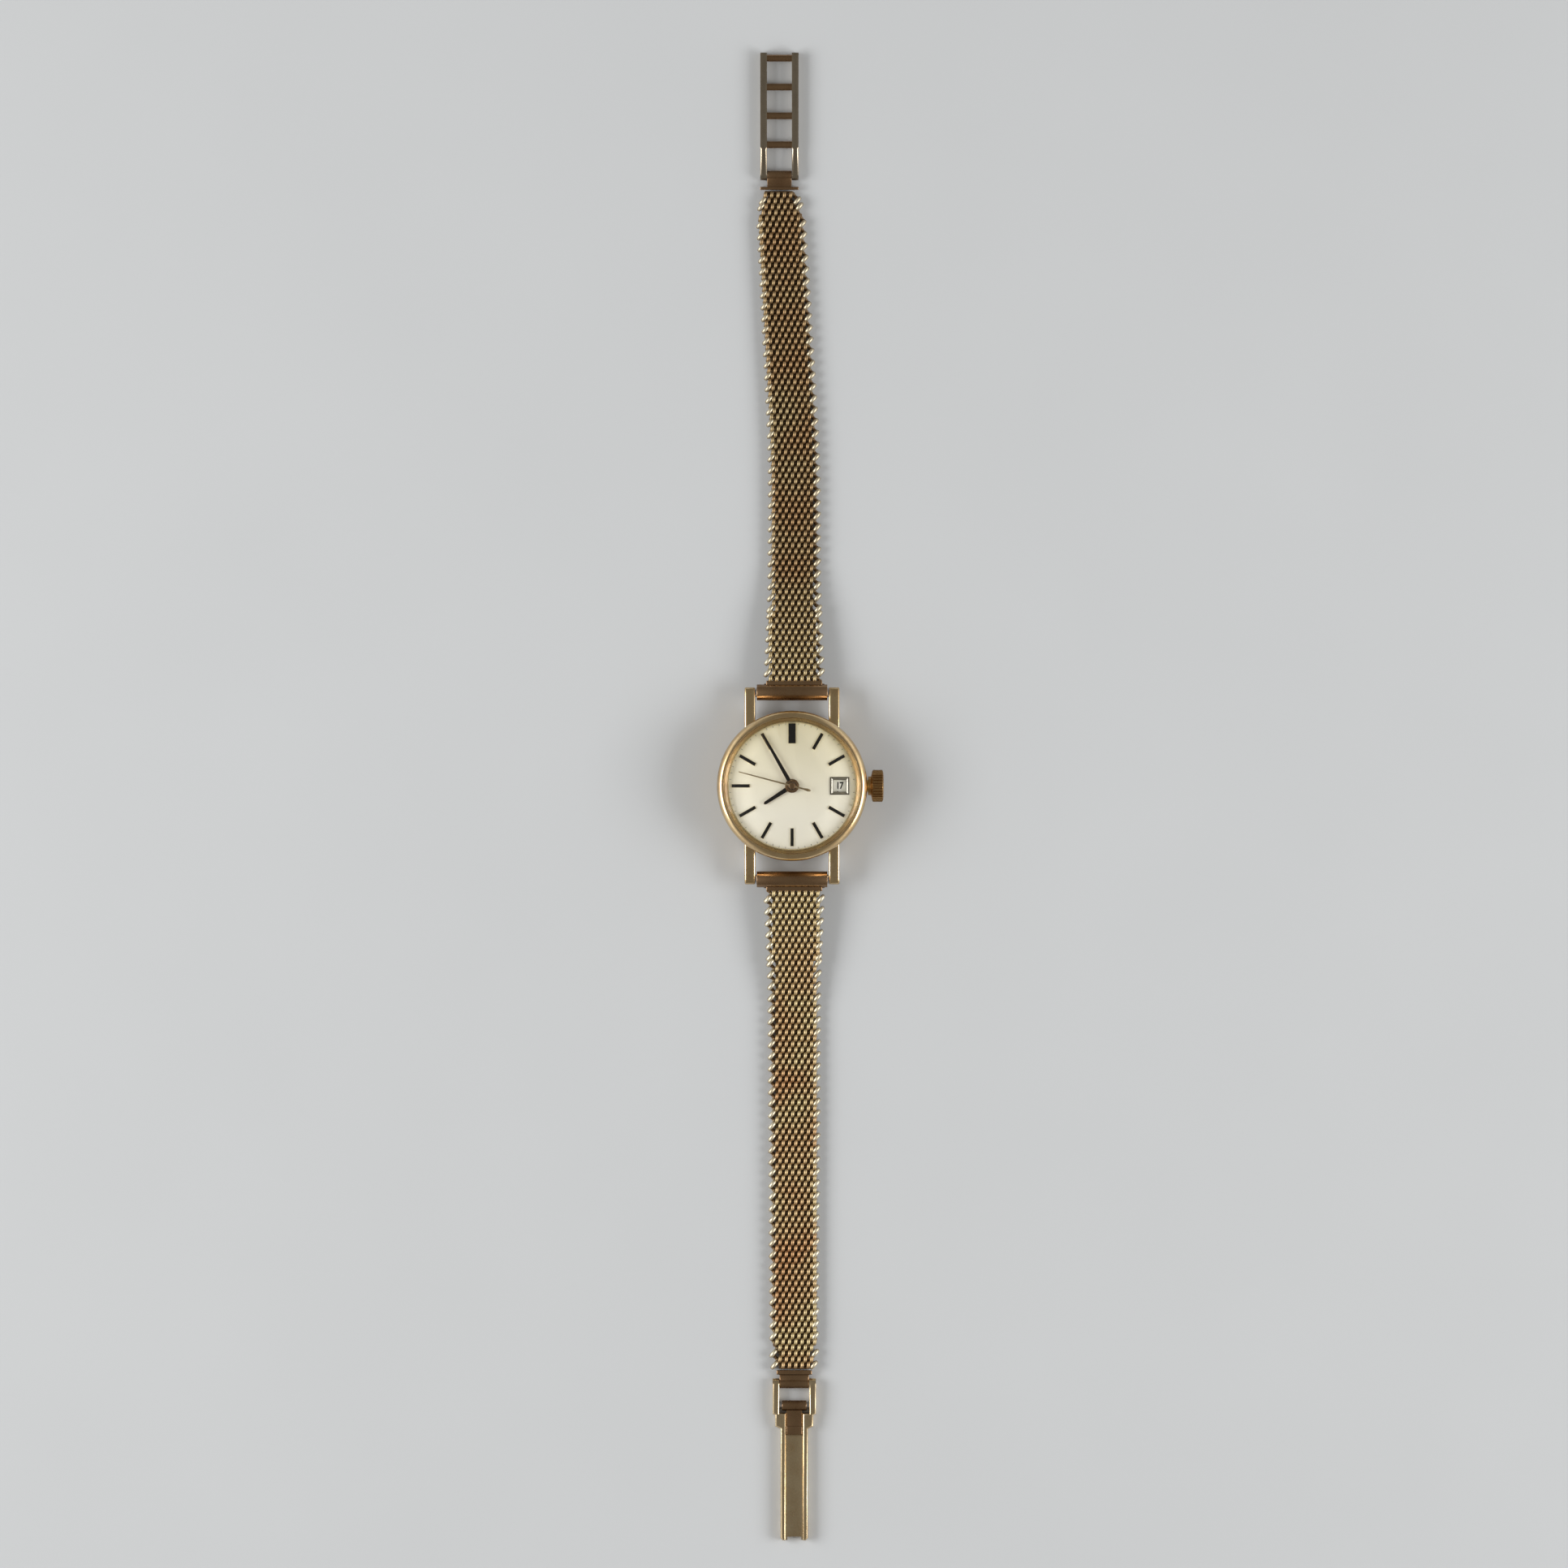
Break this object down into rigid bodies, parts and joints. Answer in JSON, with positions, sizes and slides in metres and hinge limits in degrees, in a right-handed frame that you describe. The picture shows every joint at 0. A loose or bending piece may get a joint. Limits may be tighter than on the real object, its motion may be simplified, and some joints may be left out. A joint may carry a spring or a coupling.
{
  "type": "wristwatch on a mesh band",
  "caption": "Small round wristwatch with a domed crystal and date window on a woven mesh band that closes with a folding lever and a hook on a ladder",
  "frame": {"origin": "on the flat of the case back, under the centre of the dial", "axes": "+Z comes out of the dial, +Y points to twelve o'clock and along the band to the ladder, +X points to the crown at three o'clock"},
  "size_m": [0.0227, 0.2025, 0.0088],
  "materials": {
    "gold_plate": "polished gold plate on steel",
    "gold_mesh": "woven gold-plated wire",
    "steel": "fine brushed",
    "movement_brass": "gilt",
    "blued_steel": "heat blued",
    "crystal": "polished clear dome",
    "dial_silver": "silvered satin",
    "date_white": "matt white",
    "gasket": "moulded black"
  },
  "bodies": {
    "case": {"case_middle": "gold_plate", "bezel": "gold_plate", "crystal": "crystal", "tension_ring": "gold_plate", "case_back": "steel", "case_back_gasket": "gasket", "movement_ring": "movement_brass", "crown_tube": "movement_brass", "dial": "dial_silver", "hour_markers": "gold_plate", "date_window_frame": "gold_plate", "main_plate": "steel", "barrel_bridge": "steel", "train_bridge": "steel", "balance_cock": "steel", "hairspring": "blued_steel", "bridge_screws": "blued_steel", "upper_spring_bar": "steel", "lower_spring_bar": "steel"},
    "winding": {"winding_pinion": "steel"},
    "crown": {"crown": "gold_plate", "winding_stem": "steel"},
    "date": {"date_ring": "date_white"},
    "hour": {"hour_hand": "gold_plate", "hour_wheel": "movement_brass"},
    "minute": {"minute_hand": "gold_plate", "cannon_pinion": "steel"},
    "minute_works": {"minute_wheel": "movement_brass"},
    "seconds": {"seconds_hand": "gold_plate", "fourth_wheel": "movement_brass"},
    "third": {"third_wheel": "movement_brass"},
    "centre": {"centre_wheel": "movement_brass"},
    "barrel": {"mainspring_barrel": "movement_brass", "mainspring": "steel"},
    "escape": {"escape_wheel": "steel"},
    "pallet": {"pallet_fork": "steel"},
    "balance": {"balance_wheel": "movement_brass"},
    "rotor": {"rotor": "movement_brass"},
    "ratchet": {"ratchet_wheel": "steel", "barrel_arbor": "steel"},
    "crown_gear": {"crown_wheel": "steel"},
    "upper_link_1": {"upper_end_tube": "gold_plate", "upper_mesh_1": "gold_mesh"},
    "upper_link_2": {"upper_mesh_2": "gold_mesh"},
    "upper_link_3": {"upper_mesh_3": "gold_mesh"},
    "upper_link_4": {"upper_mesh_4": "gold_mesh", "ladder_end_plate": "gold_plate", "ladder_pin": "steel"},
    "ladder": {"ladder_rails": "gold_plate", "ladder_rungs": "gold_plate"},
    "lower_link_1": {"lower_end_tube": "gold_plate", "lower_mesh_1": "gold_mesh"},
    "lower_link_2": {"lower_mesh_2": "gold_mesh"},
    "lower_link_3": {"lower_mesh_3": "gold_mesh"},
    "lower_link_4": {"lower_mesh_4": "gold_mesh", "clasp_end_plate": "gold_plate", "lever_pin": "steel"},
    "lever": {"clasp_lever": "gold_plate", "hook_pin": "steel"},
    "hook": {"rung_hook": "gold_plate"}
  },
  "joints": [
    {"name": "upper_strap_swing", "type": "hinge", "parent": "case", "child": "upper_link_1", "pos_m": [0, 0.0127, 0.0029], "axis": [-1, 0, 0], "range_deg": [-60, 80]},
    {"name": "upper_mesh_bend_1", "type": "hinge", "parent": "upper_link_1", "child": "upper_link_2", "pos_m": [0.0003, 0.03037, 0.00071], "axis": [-1, 0, 0], "range_deg": [-40, 50]},
    {"name": "upper_mesh_bend_2", "type": "hinge", "parent": "upper_link_2", "child": "upper_link_3", "pos_m": [0.00015, 0.04707, 0.00071], "axis": [-1, 0, 0], "range_deg": [-40, 50]},
    {"name": "upper_mesh_bend_3", "type": "hinge", "parent": "upper_link_3", "child": "upper_link_4", "pos_m": [-0.00075, 0.06376, 0.00071], "axis": [-1, 0, 0], "range_deg": [-40, 50]},
    {"name": "lower_strap_swing", "type": "hinge", "parent": "case", "child": "lower_link_1", "pos_m": [0, -0.0127, 0.0029], "axis": [-1, 0, 0], "range_deg": [-60, 80]},
    {"name": "lower_mesh_bend_1", "type": "hinge", "parent": "lower_link_1", "child": "lower_link_2", "pos_m": [0.0003, -0.03037, 0.00071], "axis": [-1, 0, 0], "range_deg": [-40, 50]},
    {"name": "lower_mesh_bend_2", "type": "hinge", "parent": "lower_link_2", "child": "lower_link_3", "pos_m": [0.0003, -0.04627, 0.00071], "axis": [-1, 0, 0], "range_deg": [-40, 50]},
    {"name": "lower_mesh_bend_3", "type": "hinge", "parent": "lower_link_3", "child": "lower_link_4", "pos_m": [0.0003, -0.06297, 0.00071], "axis": [-1, 0, 0], "range_deg": [-40, 50]},
    {"name": "ladder_swing", "type": "hinge", "parent": "upper_link_4", "child": "ladder", "pos_m": [-0.00172, 0.08317, 0.0007], "axis": [-1, 0, 0], "range_deg": [-90, 100]},
    {"name": "lever_fold", "type": "hinge", "parent": "lower_link_4", "child": "lever", "pos_m": [0.0003, -0.08143, 0.00075], "axis": [-1, 0, 0], "range_deg": [-15, 112]},
    {"name": "hook_swing", "type": "hinge", "parent": "lever", "child": "hook", "pos_m": [0.0003, -0.08438, 0.0008], "axis": [-1, 0, 0], "range_deg": [0, 85]},
    {"name": "crown_turn", "type": "hinge", "parent": "case", "child": "winding", "pos_m": [0.0066, 0, 0.0037], "axis": [1, 0, 0], "continuous": true},
    {"name": "crown_pull", "type": "slide", "parent": "winding", "child": "crown", "axis": [1, 0, 0], "range_m": [0, 0.0009]},
    {"name": "minute_hand_turn", "type": "hinge", "parent": "case", "child": "minute", "pos_m": [0, 0, 0.0055], "axis": [0, 0, -1], "continuous": true},
    {"name": "hour_hand_turn", "type": "hinge", "parent": "case", "child": "hour", "pos_m": [0, 0, 0.0055], "axis": [0, 0, -1], "continuous": true},
    {"name": "minute_wheel_turn", "type": "hinge", "parent": "case", "child": "minute_works", "pos_m": [0.0012, -0.00208, 0.0051], "axis": [0, 0, -1], "continuous": true},
    {"name": "seconds_hand_turn", "type": "hinge", "parent": "case", "child": "seconds", "pos_m": [0, 0, 0.0055], "axis": [0, 0, -1], "continuous": true},
    {"name": "third_wheel_turn", "type": "hinge", "parent": "case", "child": "third", "pos_m": [-0.00359, -0.00031, 0.0033], "axis": [0, 0, -1], "continuous": true},
    {"name": "centre_wheel_turn", "type": "hinge", "parent": "case", "child": "centre", "pos_m": [0, 0, 0.0035], "axis": [0, 0, -1], "continuous": true},
    {"name": "barrel_turn", "type": "hinge", "parent": "case", "child": "barrel", "pos_m": [0.0027, 0.00322, 0.004], "axis": [0, 0, -1], "continuous": true},
    {"name": "escape_wheel_turn", "type": "hinge", "parent": "case", "child": "escape", "pos_m": [-0.00137, -0.00322, 0.0037], "axis": [0, 0, -1], "continuous": true},
    {"name": "pallet_fork_rock", "type": "hinge", "parent": "case", "child": "pallet", "pos_m": [0.00038, -0.00439, 0.0037], "axis": [0, 0, 1], "range_deg": [-5, 5]},
    {"name": "balance_swing", "type": "hinge", "parent": "case", "child": "balance", "pos_m": [0.0019, -0.0054, 0.0033], "axis": [0, 0, 1], "range_deg": [-270, 270], "stiffness_Nm_per_rad": 0.00000002},
    {"name": "rotor_turn", "type": "hinge", "parent": "case", "child": "rotor", "pos_m": [0, 0, 0.0017], "axis": [0, 0, 1], "continuous": true},
    {"name": "date_ring_turn", "type": "hinge", "parent": "case", "child": "date", "pos_m": [0, 0, 0.0052], "axis": [0, 0, -1], "continuous": true},
    {"name": "ratchet_turn", "type": "hinge", "parent": "case", "child": "ratchet", "pos_m": [0.0027, 0.00322, 0.0027], "axis": [0, 0, 1], "continuous": true},
    {"name": "crown_wheel_turn", "type": "hinge", "parent": "case", "child": "crown_gear", "pos_m": [0.0051, 0, 0.0027], "axis": [0, 0, 1], "continuous": true}
  ],
  "couplings": [
    {"joint": "hour_hand_turn", "follows": "minute_hand_turn", "ratio": 0.083333},
    {"joint": "minute_wheel_turn", "follows": "minute_hand_turn", "ratio": -0.33333},
    {"joint": "third_wheel_turn", "follows": "seconds_hand_turn", "ratio": -0.13333},
    {"joint": "centre_wheel_turn", "follows": "seconds_hand_turn", "ratio": 0.016667},
    {"joint": "escape_wheel_turn", "follows": "seconds_hand_turn", "ratio": -10},
    {"joint": "barrel_turn", "follows": "seconds_hand_turn", "ratio": -0.0027778},
    {"joint": "crown_wheel_turn", "follows": "crown_turn", "ratio": 0.54545},
    {"joint": "ratchet_turn", "follows": "crown_turn", "ratio": -0.30769}
  ]
}
